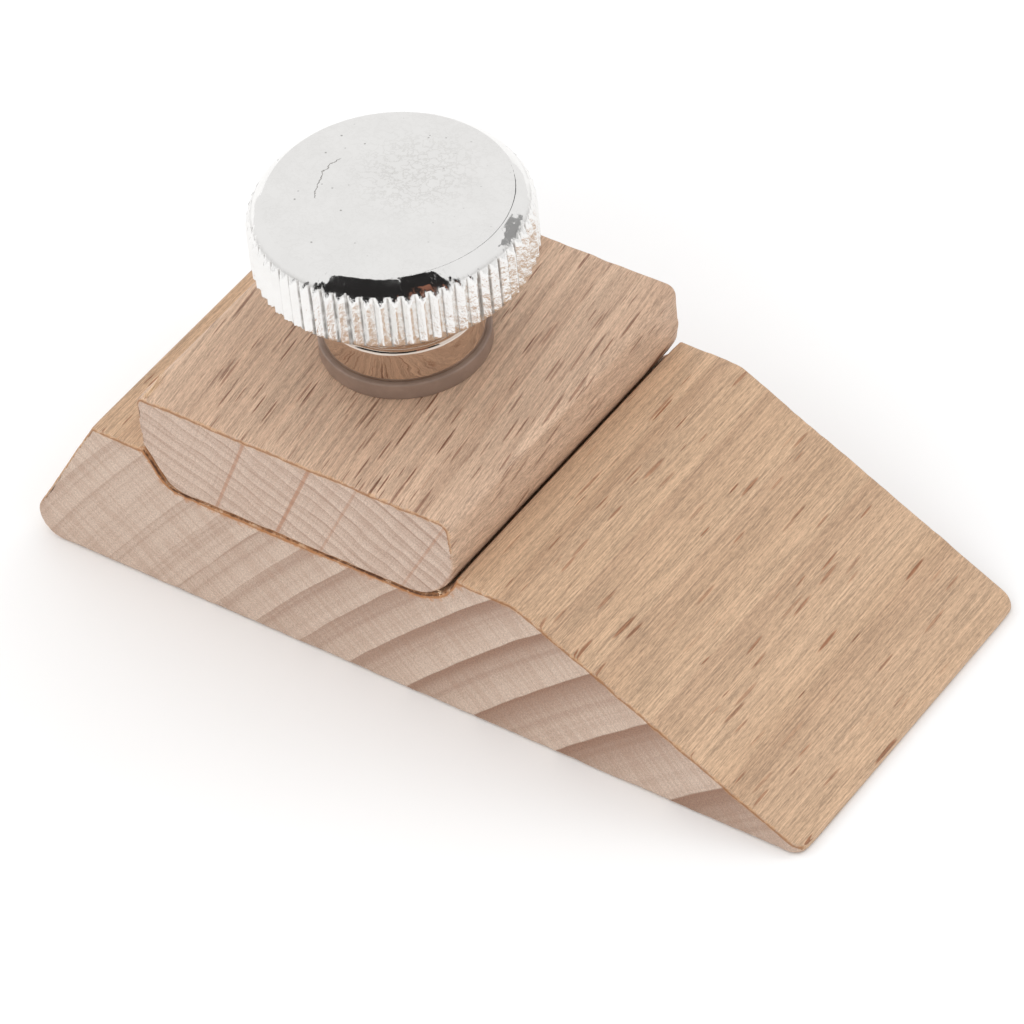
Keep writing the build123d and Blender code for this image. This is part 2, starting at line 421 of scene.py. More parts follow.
def threaded(radius, height, angle):
    """A metric thread: the crest is cut away by a wave of 60 degree flanks that climbs one pitch for
    each turn anticlockwise, flat for an eighth of the pitch at the crest and a quarter at the root."""
    turn = (height - thread_pitch * angle / (2 * np.pi)) / thread_pitch
    across = np.abs(turn - np.floor(turn) - 0.5) * thread_pitch
    cut = np.clip((across - thread_pitch / 16) * math.sqrt(3), 0, thread_depth)
    on_thread = height < knob_low.z - 0.4 * MM
    return np.minimum(radius, thread_crest_radius - np.where(on_thread, cut, 0))


# ---------------------------------------------------------------- materials

def tone(red, green, blue):
    """Linear colour from screen values of 0 to 255."""
    return (*[((c / 255 + 0.055) / 1.055) ** 2.4 if c > 10 else c / 3295 for c in (red, green, blue)], 1)


class Wires:
    """Places nodes in one tree. An input is given as a number, a tuple or another node's output."""

    def __init__(self, tree):
        self.tree = tree

    def add(self, kind, inputs=None, output=0, **settings):
        node = self.tree.nodes.new("ShaderNode" + kind)
        for key, value in settings.items():
            setattr(node, key, value)
        for key, value in (inputs or {}).items():
            if isinstance(value, bpy.types.NodeSocket):
                self.tree.links.new(value, node.inputs[key])
            else:
                node.inputs[key].default_value = value
        return node.outputs[output]

    def math(self, operation, *values):
        return self.add("Math", dict(enumerate(values)), operation=operation)

    def vector(self, operation, *values):
        return self.add("VectorMath", dict(enumerate(values)), operation=operation)

    def scaled(self, vector, factors):
        return self.vector("MULTIPLY", vector, factors)

    def parts(self, vector):
        node = self.tree.nodes.new("ShaderNodeSeparateXYZ")
        self.tree.links.new(vector, node.inputs[0])
        return node.outputs

    def joined(self, x, y, z):
        return self.add("CombineXYZ", {0: x, 1: y, 2: z})

    def ramp(self, value, low, high, to_low=0.0, to_high=1.0, kind="SMOOTHSTEP"):
        return self.add("MapRange", {0: value, 1: low, 2: high, 3: to_low, 4: to_high},
                        interpolation_type=kind)

    def noise(self, vector, scale, detail=3.0, roughness=0.55, output=0):
        return self.add("TexNoise", {"Vector": vector, "Scale": scale, "Detail": detail,
                                     "Roughness": roughness}, output=output)

    def blend(self, factor, first, second, kind="MIX"):
        return self.add("Mix", {0: factor, 6: first, 7: second}, output=2, data_type="RGBA", blend_type=kind)

    def group(self, tree, inputs):
        node = self.tree.nodes.new("ShaderNodeGroup")
        node.node_tree = tree
        for key, value in inputs.items():
            if isinstance(value, bpy.types.NodeSocket):
                self.tree.links.new(value, node.inputs[key])
            else:
                node.inputs[key].default_value = value
        return node.outputs


def effect(name, inputs, outputs, wire):
    """A shader node group. inputs and outputs map a socket's name to its kind and first value, and
    wire(wires, input sockets) returns the output sockets by name."""
    tree = bpy.data.node_groups.new(name, "ShaderNodeTree")
    for label, (kind, value) in inputs.items():
        socket = tree.interface.new_socket(label, in_out="INPUT", socket_type="NodeSocket" + kind)
        socket.default_value = value
    for label, kind in outputs.items():
        tree.interface.new_socket(label, in_out="OUTPUT", socket_type="NodeSocket" + kind)
    way_in = tree.nodes.new("NodeGroupInput")
    way_out = tree.nodes.new("NodeGroupOutput")
    for label, socket in wire(Wires(tree), way_in.outputs).items():
        tree.links.new(socket, way_out.inputs[label])
    return tree


def wire_growth_rings(w, given):
    """Rings round a pith that runs along Y: phase = even * d + widening * d^2, with d the distance
    past the first ring, and each ring darkens towards its sharp outer edge."""
    bend = w.noise(w.scaled(given["Place"], (1, 0.02, 1)), 0.11, 2.0)
    x, y, z = w.parts(given["Place"])
    across = w.math("SUBTRACT", x, given["Pith X"])
    up = w.math("SUBTRACT", z, given["Pith Z"])
    radius = w.math("SQRT", w.math("ADD", w.math("MULTIPLY", across, across), w.math("MULTIPLY", up, up)))
    past = w.math("SUBTRACT", radius, given["First"])
    past = w.math("ADD", past, w.math("MULTIPLY", w.math("SUBTRACT", bend, 0.5), given["Bend"]))
    even = w.math("MULTIPLY", past, given["Even"])
    phase = w.math("ADD", even, w.math("MULTIPLY", w.math("MULTIPLY", past, past), given["Widening"]))
    within = w.math("FRACT", phase)
    ring = w.math("POWER", within, given["Sharpness"])
    edge = w.ramp(within, 1.0, 0.975)
    thin = w.add("TexNoise", {"Vector": w.joined(radius, 0.0, 0.0), "Scale": given["Thin lines"],
                              "Detail": 2.0, "Roughness": 0.5})
    thin = w.ramp(thin, 0.42, 0.66)
    return {"Ring": w.math("MULTIPLY", ring, edge), "Thin": thin}


growth_rings = effect(
    "growth rings",
    {"Place": ("Vector", (0, 0, 0)), "Pith X": ("Float", 0.0), "Pith Z": ("Float", 0.0),
     "First": ("Float", 200.0), "Even": ("Float", 0.1), "Widening": ("Float", 0.0),
     "Bend": ("Float", 1.0), "Sharpness": ("Float", 4.0), "Thin lines": ("Float", 1.2)},
    {"Ring": "Float", "Thin": "Float"}, wire_growth_rings)


def wire_rays(w, given):
    """Rays are thin ribbons that stand along the grain and run out from the pith. Place is turned into
    (arc, grain, radius), stretched by Size, and a ray fills the middle of each scattered cell."""
    x, y, z = w.parts(given["Place"])
    across = w.math("SUBTRACT", x, given["Pith X"])
    up = w.math("SUBTRACT", z, given["Pith Z"])
    radius = w.math("SQRT", w.math("ADD", w.math("MULTIPLY", across, across), w.math("MULTIPLY", up, up)))
    arc = w.math("MULTIPLY", w.math("ARCTAN2", up, across), 200.0)
    wander = w.noise(w.joined(w.math("MULTIPLY", arc, 0.1), w.math("MULTIPLY", y, 0.03), 0.0), 1.0, 1.0)
    arc = w.math("ADD", arc, w.math("MULTIPLY", wander, 1.0))
    place = w.vector("DIVIDE", w.joined(arc, y, radius), given["Size"])
    place = w.vector("ADD", place, given["Shift"])
    gap = w.add("TexVoronoi", {"Vector": place, "Scale": 1.0, "Randomness": 1.0}, output=0)
    kind = w.add("TexVoronoi", {"Vector": place, "Scale": 1.0, "Randomness": 1.0}, output=1)
    pick, second, third = w.parts(kind)
    width = w.math("MULTIPLY", given["Reach"], w.ramp(pick, 0.0, 1.0, 0.45, 1.25, "LINEAR"))
    mask = w.ramp(w.math("DIVIDE", gap, width), 1.0, 0.6)
    shown = w.ramp(second, given["Share"], w.math("SUBTRACT", given["Share"], 0.12))
    lines = w.noise(w.joined(w.math("MULTIPLY", arc, given["Line pitch"]), w.math("MULTIPLY", y, 0.08),
                             w.math("MULTIPLY", radius, 0.05)), 1.0, 2.0, 0.5)
    lines = w.ramp(w.math("ABSOLUTE", w.math("SUBTRACT", lines, 0.5)), 0.055, 0.01)
    return {"Ray": w.math("MULTIPLY", mask, shown), "Pick": third, "Lines": lines,
            "Angle": w.math("DIVIDE", arc, 200.0)}


rays = effect(
    "rays", {"Place": ("Vector", (0, 0, 0)), "Pith X": ("Float", 0.0), "Pith Z": ("Float", 0.0),
             "Size": ("Vector", (1, 8, 16)), "Shift": ("Vector", (0, 0, 0)), "Reach": ("Float", 0.3),
             "Share": ("Float", 0.7), "Line pitch": ("Float", 0.9)},
    {"Ray": "Float", "Pick": "Float", "Lines": "Float", "Angle": "Float"}, wire_rays)


def wire_fibres(w, given):
    """Fibres are noise drawn out along Y. Fine is at the scale of single fibres, Streak at that of
    bundles and Band at that of the tone bands."""
    place = given["Place"]
    fine = w.noise(w.scaled(place, (5.5, 0.10, 5.5)), 1.0, 4.0, 0.75)
    short = w.noise(w.scaled(place, (10.0, 1.1, 10.0)), 1.0, 2.0, 0.75)
    streak = w.noise(w.scaled(place, (1.15, 0.028, 1.15)), 1.0, 3.0, 0.6)
    band = w.noise(w.scaled(place, (0.16, 0.006, 0.16)), 1.0, 2.0, 0.5)
    pores = w.add("TexVoronoi", {"Vector": w.scaled(place, (4.5, 0.8, 4.5)), "Scale": 1.0})
    return {"Fine": w.ramp(fine, 0.3, 0.7, kind="LINEAR"), "Streak": w.ramp(streak, 0.3, 0.7, kind="LINEAR"),
            "Band": w.ramp(band, 0.32, 0.68, kind="LINEAR"), "Pores": w.ramp(pores, 0.28, 0.08),
            "Short": w.ramp(short, 0.28, 0.72, kind="LINEAR")}


fibres = effect("fibres", {"Place": ("Vector", (0, 0, 0))},
                {"Fine": "Float", "Short": "Float", "Streak": "Float", "Band": "Float", "Pores": "Float"},
                wire_fibres)


def wire_scorch(w, given):
    """Scorching dies away from a sawn edge over Reach, which an uneven noise stretches and shortens."""
    uneven = w.noise(given["Place"], 1.1, 4.0, 0.75)
    reach = w.math("MULTIPLY", given["Reach"], w.ramp(uneven, 0.36, 0.68, 0.15, 2.2, "LINEAR"))
    share = w.math("DIVIDE", given["Gap"], reach)
    return {"Scorch": w.ramp(share, 1.0, 0.15), "Uneven": uneven}


scorch = effect("scorch", {"Place": ("Vector", (0, 0, 0)), "Gap": ("Float", 1.0), "Reach": ("Float", 0.4)},
                {"Scorch": "Float", "Uneven": "Float"}, wire_scorch)


def wire_wear(w, given):
    """Handling marks: soft clouds, small round pits, and fine scratches that cross each other."""
    place = given["Place"]
    cloud = w.noise(place, 0.35, 4.0, 0.6)
    pits = w.add("TexVoronoi", {"Vector": place, "Scale": 0.75})
    pick = w.add("TexVoronoi", {"Vector": place, "Scale": 0.75}, output=1)
    pick = w.parts(pick)[0]
    pits = w.math("MULTIPLY", w.ramp(pits, given["Pit size"], w.math("MULTIPLY", given["Pit size"], 0.3)),
                  w.ramp(pick, 0.55, 0.62))
    one = w.noise(w.scaled(place, (9.0, 0.25, 2.0)), 1.0, 2.0)
    two = w.noise(w.scaled(place, (0.3, 8.0, 2.0)), 1.0, 2.0)
    scratches = w.math("MAXIMUM", w.ramp(one, 0.68, 0.76), w.ramp(two, 0.69, 0.77))
    return {"Cloud": w.ramp(cloud, 0.35, 0.65), "Pits": pits, "Scratches": scratches}


wear = effect("wear", {"Place": ("Vector", (0, 0, 0)), "Pit size": ("Float", 0.12)},
              {"Cloud": "Float", "Pits": "Float", "Scratches": "Float"}, wire_wear)


def finish_of(name):
    """A new material: its wires, its Principled shader and its place on the piece in millimetres."""
    material = bpy.data.materials.new(name)
    material.use_nodes = True
    w = Wires(material.node_tree)
    shader = material.node_tree.nodes["Principled BSDF"]
    place = w.scaled(w.add("TexCoord", output="Object"), (1000, 1000, 1000))
    return material, w, shader, place


def surface(w, shader, **sockets):
    """Sets the shader's sockets: a constant goes on the socket, and an output is linked to it."""
    for label, value in sockets.items():
        socket = shader.inputs[label.replace("_", " ")]
        if isinstance(value, bpy.types.NodeSocket):
            w.tree.links.new(value, socket)
        else:
            socket.default_value = value


def beech(name, pith, rings, tilt, face, deep, end_face, fleck, flecks, ring_force, line_force,
          bold_rays, seam_fringe_and_shade):
    """Beech: fibres, growth rings and rays worked out in the solid, so that every face is cut from the
    same wood. Where the end_grain attribute is 1 the paler, greyer end wood shows."""
    material, w, shader, place = finish_of(name)
    turned_place = w.add("VectorRotate", {"Vector": place, "Angle": tilt}, rotation_type="Z_AXIS")
    end = w.add("Attribute", attribute_name="end_grain", output="Fac")
    rim = w.add("Attribute", attribute_name="rim", output="Fac")
    seam = w.add("Attribute", attribute_name="seam", output="Fac")
    x = w.parts(place)[0]

    def by_face(side_value, end_value):
        """side_value on faces along the grain and end_value on end wood."""
        return w.add("Mix", {0: end, 2: side_value, 3: end_value}, data_type="FLOAT")

    fibre = w.group(fibres, {"Place": turned_place})
    ring = w.group(growth_rings, {"Place": turned_place, "Pith X": pith[0], "Pith Z": pith[1], **rings})
    small = w.group(rays, {"Place": turned_place, "Pith X": pith[0], "Pith Z": pith[1], **flecks[0]})
    large = w.group(rays, {"Place": turned_place, "Pith X": pith[0], "Pith Z": pith[1], **flecks[1]})

    colour = w.blend(w.ramp(fibre["Band"], 0.0, 1.0, 0.1, 0.55, "LINEAR"), face, deep)
    colour = w.blend(w.math("MULTIPLY", end, 0.92), colour, end_face)
    grain = w.math("ADD", w.math("MULTIPLY", fibre["Streak"], 0.08), w.math("MULTIPLY", fibre["Fine"], 0.52))
    grain = w.math("ADD", grain, w.math("MULTIPLY", fibre["Short"], 0.40))
    streak = w.ramp(grain, 0.26, 0.74, 0.66, 1.30, "LINEAR")
    grit = w.noise(place, 5.0, 3.0, 0.8)
    speckle = w.ramp(grit, 0.32, 0.68, 0.70, 1.24, "LINEAR")
    light = by_face(streak, speckle)
    bold = w.ramp(x, -40.0, 15.0, *ring_force)
    darker = w.math("MULTIPLY", ring["Ring"], by_face(0.2, bold))
    colour = w.blend(darker, colour, tone(136, 98, 76))
    in_band = w.ramp(ring["Ring"], 0.0, 0.6, 0.35, 1.0, "LINEAR")
    thin = w.math("MULTIPLY", w.math("MULTIPLY", ring["Thin"], in_band), by_face(0.08, 0.34))
    colour = w.blend(thin, colour, tone(140, 104, 84))
    strength = w.ramp(small["Pick"], 0, 1, 0.35, 1.0, "LINEAR")
    ray = w.math("MAXIMUM", w.math("MULTIPLY", small["Ray"], strength),
                 w.math("MULTIPLY", large["Ray"], 0.65))
    colour = w.blend(w.math("MULTIPLY", ray, by_face(0.95, 0.12)), colour, fleck)
    lines = w.math("MULTIPLY", w.math("MAXIMUM", small["Lines"], large["Lines"]), by_face(0.0, line_force))
    colour = w.blend(w.math("MULTIPLY", lines, w.ramp(grit, 0.3, 0.6, 0.4, 1.0)), colour, tone(158, 120, 98))
    for angle, width, force in bold_rays:
        off = w.math("ABSOLUTE", w.math("SUBTRACT", small["Angle"], math.radians(angle)))
        patchy = w.ramp(grit, 0.35, 0.6, 0.5 * force, force, "LINEAR")
        one = w.math("MULTIPLY", w.ramp(off, width / 200, width / 700), w.math("MULTIPLY", patchy, end))
        colour = w.blend(one, colour, tone(168, 112, 78))
    pore_amount = w.math("MULTIPLY", fibre["Pores"], by_face(0.08, 0.25))
    colour = w.blend(pore_amount, colour, tone(120, 88, 66))
    colour = w.blend(1.0, colour, w.joined(light, light, light), "MULTIPLY")

    edge = w.group(scorch, {"Place": place, "Gap": rim, "Reach": 0.20})
    colour = w.blend(w.math("MULTIPLY", edge["Scorch"], 0.45), colour, tone(200, 148, 92))
    dark_edge = w.group(scorch, {"Place": w.vector("ADD", place, (40, 7, 3)), "Gap": rim, "Reach": 0.09})
    colour = w.blend(w.math("MULTIPLY", dark_edge["Scorch"], 0.6), colour, tone(132, 82, 44))
    reach, force, burnt, seam_shade_reach, seam_shade_colour = seam_fringe_and_shade
    fringe = w.group(scorch, {"Place": w.vector("ADD", place, (11, 3, 60)), "Gap": seam, "Reach": reach})
    colour = w.blend(w.math("MULTIPLY", fringe["Scorch"], force), colour, burnt)
    # Painted shade: a thin dark line along the seam where plate and block meet, darkest right at the seam.
    reach = w.ramp(fringe["Uneven"], 0.3, 0.7, 0.6 * seam_shade_reach, 1.4 * seam_shade_reach, "LINEAR")
    line = w.ramp(w.math("DIVIDE", seam, reach), 1.0, 0.45)
    colour = w.blend(w.math("MULTIPLY", line, 0.95), colour, seam_shade_colour)

    height = w.math("ADD", w.math("MULTIPLY", fibre["Fine"], 0.3), w.math("MULTIPLY", fibre["Short"], 0.3))
    height = w.math("ADD", height, w.math("MULTIPLY", w.math("ADD", ray, fibre["Pores"]), -0.3))
    height = w.math("ADD", height, w.math("MULTIPLY", grit, 0.4))
    normal = w.add("Bump", {"Strength": 0.5, "Distance": 0.00014, "Height": height})
    rough = w.math("ADD", w.math("MULTIPLY", fibre["Streak"], -0.10), w.math("MULTIPLY", end, 0.10))
    rough = w.math("ADD", w.math("ADD", rough, 0.60), w.math("MULTIPLY", ray, -0.12))
    surface(w, shader, Base_Color=colour, Roughness=rough, Normal=normal, Specular_IOR_Level=0.35)
    return material


block_beech = beech(
    "block beech", (155.8, -153.3),
    {"First": 197.1, "Even": 0.0927, "Widening": 0.0020, "Bend": 0.6, "Sharpness": 1.7, "Thin lines": 1.0},
    0.0, tone(205, 173, 143), tone(191, 157, 126), tone(208, 187, 171), tone(148, 100, 70),
    [{"Size": (0.3, 7.5, 9), "Reach": 0.27, "Share": 0.72, "Line pitch": 0.75},
     {"Size": (0.5, 12, 14), "Shift": (7.3, 2.2, 5.1), "Reach": 0.22, "Share": 0.35, "Line pitch": 1.5}],
    (0.08, 0.9), 0.25, [],
    # the seam's burnt fringe, then the reach and colour of its painted shade line
    (0.8, 0.65, tone(180, 118, 66), 0.27, tone(78, 46, 28)))
plate_beech = beech(
    "plate beech", (-101.0, -158.0),
    {"First": 150.0, "Even": 0.55, "Widening": 0.0, "Bend": 3.0, "Sharpness": 1.6, "Thin lines": 2.0},
    math.radians(-7), tone(209, 179, 154), tone(197, 163, 137), tone(210, 188, 172), tone(116, 72, 50),
    [{"Size": (0.36, 7.4, 7), "Reach": 0.33, "Share": 0.9, "Line pitch": 0.6},
     {"Size": (0.7, 11, 9), "Shift": (3.3, 8.2, 1.1), "Reach": 0.25, "Share": 0.6, "Line pitch": 1.3}],
    (0.25, 0.42), 0.14,
    [(66.55, 0.30, 0.6), (64.5, 0.34, 0.7), (63.05, 0.22, 0.4), (60.4, 0.22, 0.4), (59.5, 0.2, 0.4)],
    # the seam's burnt fringe, then the reach and colour of its painted shade line
    (0.2, 0.4, tone(160, 110, 74), 0.1, tone(84, 52, 34)))


def chrome():
    """Bright plating with faint clouds, pits and one hairline crack on the face, a rougher finish with
    painted shade down in the flutes, and a painted warm reflection of the shaded wood on the collar."""
    material, w, shader, place = finish_of("bright chrome")
    marks = w.group(wear, {"Place": place, "Pit size": 0.12})
    top = knob_high.z / MM
    x, y, z = w.parts(place)
    across = w.math("SUBTRACT", x, axis_x / MM)
    radius = w.math("SQRT", w.math("ADD", w.math("MULTIPLY", across, across), w.math("MULTIPLY", y, y)))
    on_side = w.math("MULTIPLY", w.ramp(z, top - 0.9, top - 2.0),
                     w.ramp(radius, 13.6, 14.2))
    in_flute = w.math("MULTIPLY", on_side, w.ramp(radius, 14.49, 14.37))
    # Painted shade: the flute floors, patchy by noise, are darkened in the base colour below, and the same
    # mask roughens them.
    flute_floor_shade = w.math("MULTIPLY", in_flute, w.ramp(w.noise(place, 1.1, 3.0), 0.3, 0.6, 0.4, 1.0))
    past_middle = w.math("SUBTRACT", y, 0.4)
    bow = w.math("SUBTRACT", w.math("MULTIPLY", w.math("MULTIPLY", past_middle, past_middle), 0.075), 20.05)
    jagged = w.math("MULTIPLY", w.math("SUBTRACT", w.noise(place, 1.1, 3.0, 0.6), 0.5), 1.1)
    crack = w.math("ADD", w.math("SUBTRACT", x, bow), jagged)
    crack = w.ramp(w.math("ABSOLUTE", crack), 0.08, 0.02)
    from_crack = w.add("VectorMath", {0: place, 1: (-19.6, -1.2, top)}, output=1, operation="DISTANCE")
    crack = w.math("MULTIPLY", crack, w.ramp(from_crack, 3.5, 3.1))
    pits = w.math("MULTIPLY", marks["Pits"], w.ramp(across, 5.0, -5.0, 0.35, 1.0))
    from_folds = w.add("VectorMath", {0: place, 1: (-11.5, 4.0, top)}, output=1, operation="DISTANCE")
    folded = w.ramp(from_folds, 8.5, 2.0, 0.2, 1.0)
    wrinkle = w.noise(w.vector("ADD", place, (5, 5, 0)), 0.85, 5.0, 0.62)
    on_face = w.ramp(z, top - 0.3, top - 0.05)
    colour = w.blend(w.math("MULTIPLY", marks["Cloud"], 0.25), (0.90, 0.89, 0.875, 1), (0.80, 0.79, 0.775, 1))
    # Painted reflection: the foot of the neck and the collar are tinted warmer and darker, standing in for
    # the shaded wood they mirror.
    dim = w.ramp(z, top - 12.9, top - 13.9)
    colour = w.blend(w.math("MULTIPLY", dim, 0.8), colour, (0.66, 0.54, 0.45, 1))
    # Painted shade: the flute floors darkened almost to black.
    colour = w.blend(w.math("MULTIPLY", flute_floor_shade, 0.7), colour, (0.14, 0.12, 0.10, 1))
    colour = w.blend(w.math("MULTIPLY", pits, 0.8), colour, (0.28, 0.27, 0.26, 1))
    colour = w.blend(w.math("MULTIPLY", crack, 0.75), colour, (0.30, 0.28, 0.26, 1))
    fold = w.ramp(w.math("ABSOLUTE", w.math("SUBTRACT", wrinkle, 0.5)), 0.05, 0.0)
    fold = w.math("MULTIPLY", fold, on_face)
    fold = w.math("MULTIPLY", w.math("MULTIPLY", fold, folded), 0.32)
    colour = w.blend(fold, colour, (0.5, 0.48, 0.45, 1))
    rough = w.ramp(marks["Cloud"], 0, 1, 0.05, 0.11, "LINEAR")
    rough = w.math("ADD", rough, w.math("MULTIPLY", on_side, 0.08))
    rough = w.math("ADD", rough, w.math("MULTIPLY", w.math("MAXIMUM", pits, flute_floor_shade), 0.25))
    height = w.math("ADD", w.math("MULTIPLY", w.math("MAXIMUM", pits, crack), -1.0),
                    w.math("MULTIPLY", w.noise(place, 0.45, 2.0), 2.4))
    wrinkle = w.math("MULTIPLY", wrinkle, w.math("MULTIPLY", on_face, folded))
    height = w.math("ADD", height, w.math("MULTIPLY", wrinkle, 3.2))
    height = w.math("ADD", height, w.math("MULTIPLY", marks["Scratches"], -0.05))
    cast = w.math("MULTIPLY", w.noise(w.scaled(place, (1, 1, 0.6)), 2.0, 3.0, 0.6), on_side)
    height = w.math("ADD", height, w.math("MULTIPLY", cast, 2.8))
    normal = w.add("Bump", {"Strength": 0.3, "Distance": 0.0001, "Height": height})
    surface(w, shader, Base_Color=colour, Roughness=rough, Normal=normal, Metallic=1.0)
    return material


def milky_nylon():
    """Clear nylon gone milky: half see-through, with faint flow clouds and fine scratches."""
    material, w, shader, place = finish_of("milky nylon")
    marks = w.group(wear, {"Place": place, "Pit size": 0.1})
    colour = w.blend(marks["Cloud"], (0.53, 0.37, 0.29, 1), (0.45, 0.31, 0.24, 1))
    rough = w.ramp(marks["Cloud"], 0, 1, 0.28, 0.42, "LINEAR")
    height = w.math("ADD", marks["Cloud"], w.math("MULTIPLY", marks["Scratches"], -0.5))
    normal = w.add("Bump", {"Strength": 0.2, "Distance": 0.00006, "Height": height})
    surface(w, shader, Base_Color=colour, Roughness=rough, Normal=normal, Transmission_Weight=0.45, IOR=1.5)
    return material


def plain_metal(name, bright, dim, low_rough, high_rough, distance):
    """Turned metal: clouds between a bright and a dull colour, fine lathe lines round the axis."""
    material, w, shader, place = finish_of(name)
    marks = w.group(wear, {"Place": place, "Pit size": 0.1})
    z = w.parts(place)[2]
    lines = w.noise(w.joined(0.0, 0.0, w.math("MULTIPLY", z, 9.0)), 1.0, 3.0)
    colour = w.blend(marks["Cloud"], bright, dim)
    rough = w.ramp(w.math("ADD", marks["Cloud"], w.math("MULTIPLY", marks["Scratches"], 0.5)), 0, 1.5,
                   low_rough, high_rough, "LINEAR")
    height = w.math("ADD", lines, w.math("MULTIPLY", marks["Pits"], -1.0))
    normal = w.add("Bump", {"Strength": 0.3, "Distance": distance, "Height": height})
    surface(w, shader, Base_Color=colour, Roughness=rough, Normal=normal, Metallic=1.0)
    return material


bright_chrome = chrome()
nylon = milky_nylon()
zinc_steel = plain_metal("zinc steel", (0.66, 0.67, 0.69, 1), (0.50, 0.51, 0.54, 1), 0.24, 0.42, 0.00004)
turned_brass = plain_metal("turned brass", (0.80, 0.62, 0.30, 1), (0.62, 0.46, 0.21, 1), 0.22, 0.4, 0.00003)


# ---------------------------------------------------------------- the wedge's pieces

def seam_distance(verts, curve):
    """Distance in millimetres from each vertex to a curve drawn on the nearer end face: the larger of
    the distance in the side view and the depth below the face. Far from the faces it is NO_EDGE."""
    depth = (half_width - np.abs(verts[:, 1])) / MM
    distance = np.full(len(verts), NO_EDGE)
    close = depth < 2
    gaps = np.linalg.norm(verts[close][:, None, [0, 2]] - resample(curve, 420, 0)[None], axis=2)
    distance[close] = np.maximum(gaps.min(axis=1) / MM, depth[close])
    return distance


lower, upper = block_outline()
verts, quads, marks = wooden_block(lower, upper, half_width, 0.3 * MM, 0.08 * MM, 11,
                                   (axis_x, insert_radius, hole_floor_z))
recess = upper[(upper[:, 0] > plate_low.x - 1.2 * MM) & (upper[:, 0] < plate_high.x + seat_gap)
               & (upper[:, 1] < block_top_z - 0.05 * MM)]
marks["seam"] = seam_distance(verts, recess)
corner_radius = 1.6 * MM
into_corner = np.clip(verts[:, 0] - (block_high.x - corner_radius), 0, corner_radius)
plan_half = half_width - corner_radius + np.sqrt(corner_radius ** 2 - into_corner ** 2)
verts[:, 1] *= plan_half / half_width
make_piece("wedge_block", verts, quads, "base", "base_block", block_beech, marks)

lower, upper = plate_outline()
verts, quads, marks = wooden_block(lower, upper, half_width, 0.3 * MM, 0.1 * MM, 23,
                                   (axis_x, plate_hole_radius, None))
marks["seam"] = seam_distance(verts, lower)
make_piece("strip_plate", verts, quads, "plate", "clamp_plate", plate_beech, marks)

verts, quads = closed_tube(turned(knob_profile(), 640, knurled))
make_piece("thumb_screw_head", verts, quads, "knob", "thumb_knob", bright_chrome, smooth_angle=28)

verts, quads = closed_tube(turned(washer_profile(), 192))
make_piece("nylon_washer", verts, quads, "washer_ring", "washer", nylon)

verts, quads = closed_tube(turned(thread_profile(), 96, threaded))
make_piece("threaded_stud", verts, quads, "knob", "knob_stud", zinc_steel, smooth_angle=50)


def fibre_tufts(tufts, sides=5, rings=7):
    """Thin torn fibres. Each is a tube along P(t) = root + run * t + curl * t^2 whose radius shrinks
    evenly to a third at the tip, and it is closed at both ends. tufts holds (root, run, count, spread)."""
    picks = np.random.default_rng(41)
    roots, runs, curls, radii = [], [], [], []
    for root, run, count, spread in tufts:
        roots.append(np.array(root) * MM + picks.uniform(-spread, spread, (count, 3)) * MM)
        length = picks.uniform(0.4, 1.0, (count, 1))
        runs.append(np.array(run) * MM * length + picks.normal(0, 0.16, (count, 3)) * MM)
        curls.append(picks.normal(0, 0.22, (count, 3)) * MM)
        radii.append(picks.uniform(0.05, 0.10, count) * MM)
    roots, runs, curls = (np.vstack(part)[:, None] for part in (roots, runs, curls))
    radii = np.concatenate(radii)[:, None]
    t = np.linspace(0, 1, rings)[None, :, None]
    spine = roots + runs * t + curls * t ** 2
    ahead = np.gradient(spine, axis=1)
    ahead /= np.linalg.norm(ahead, axis=2, keepdims=True)
    side = np.cross(ahead, np.array([0.3, 0.5, 0.81]))
    side /= np.linalg.norm(side, axis=2, keepdims=True)
    other = np.cross(ahead, side)
    angle = np.arange(sides) * 2 * np.pi / sides
    radius = radii[:, :, None] * (1 - 0.67 * t)
    radius = radius * np.where((t == 0) | (t == 1), 0.0, 1.0)
    around = (side[:, :, None] * np.cos(angle)[:, None] + other[:, :, None] * np.sin(angle)[:, None])
    tubes = spine[:, :, None] + around * radius[:, :, None]
    count = len(tubes)
    index = np.arange(rings * sides).reshape(rings, sides)
    one = grid_quads(np.hstack([index, index[:, :1]]))
    quads = (one[None] + np.arange(count)[:, None, None] * rings * sides).reshape(-1, 4)
    verts = tubes.reshape(-1, 3)
    verts[:, 1] = np.maximum(verts[:, 1], -half_width + 0.01 * MM)
    return verts, quads


def torn_fibre():
    """Pale torn beech, streaked along the fibre."""
    material, w, shader, place = finish_of("torn fibre")
    fibre = w.group(fibres, {"Place": place})
    colour = w.blend(fibre["Fine"], tone(242, 216, 186), tone(214, 178, 140))
    normal = w.add("Bump", {"Strength": 0.4, "Distance": 0.00005, "Height": fibre["Short"]})
    rough = w.ramp(fibre["Fine"], 0, 1, 0.6, 0.75, "LINEAR")
    surface(w, shader, Base_Color=colour, Roughness=rough, Normal=normal)
    return material


verts, quads = fibre_tufts([((-30.8, -20.7, 27.05), (-0.8, 4.8, 0.35), 7, 0.14),
                            ((5.3, -20.8, 16.2), (0.8, -0.1, 0.5), 9, 0.3),
                            ((-31.0, -20.8, 27.0), (-0.3, 1.2, 0.5), 4, 0.2)])
make_piece("plate_splinters", verts, quads, "plate", None, torn_fibre())

insert = frame["nodes"]["threaded_insert"]
insert.data.materials.clear()
insert.data.materials.append(turned_brass)


# ---------------------------------------------------------------- floor, light and camera

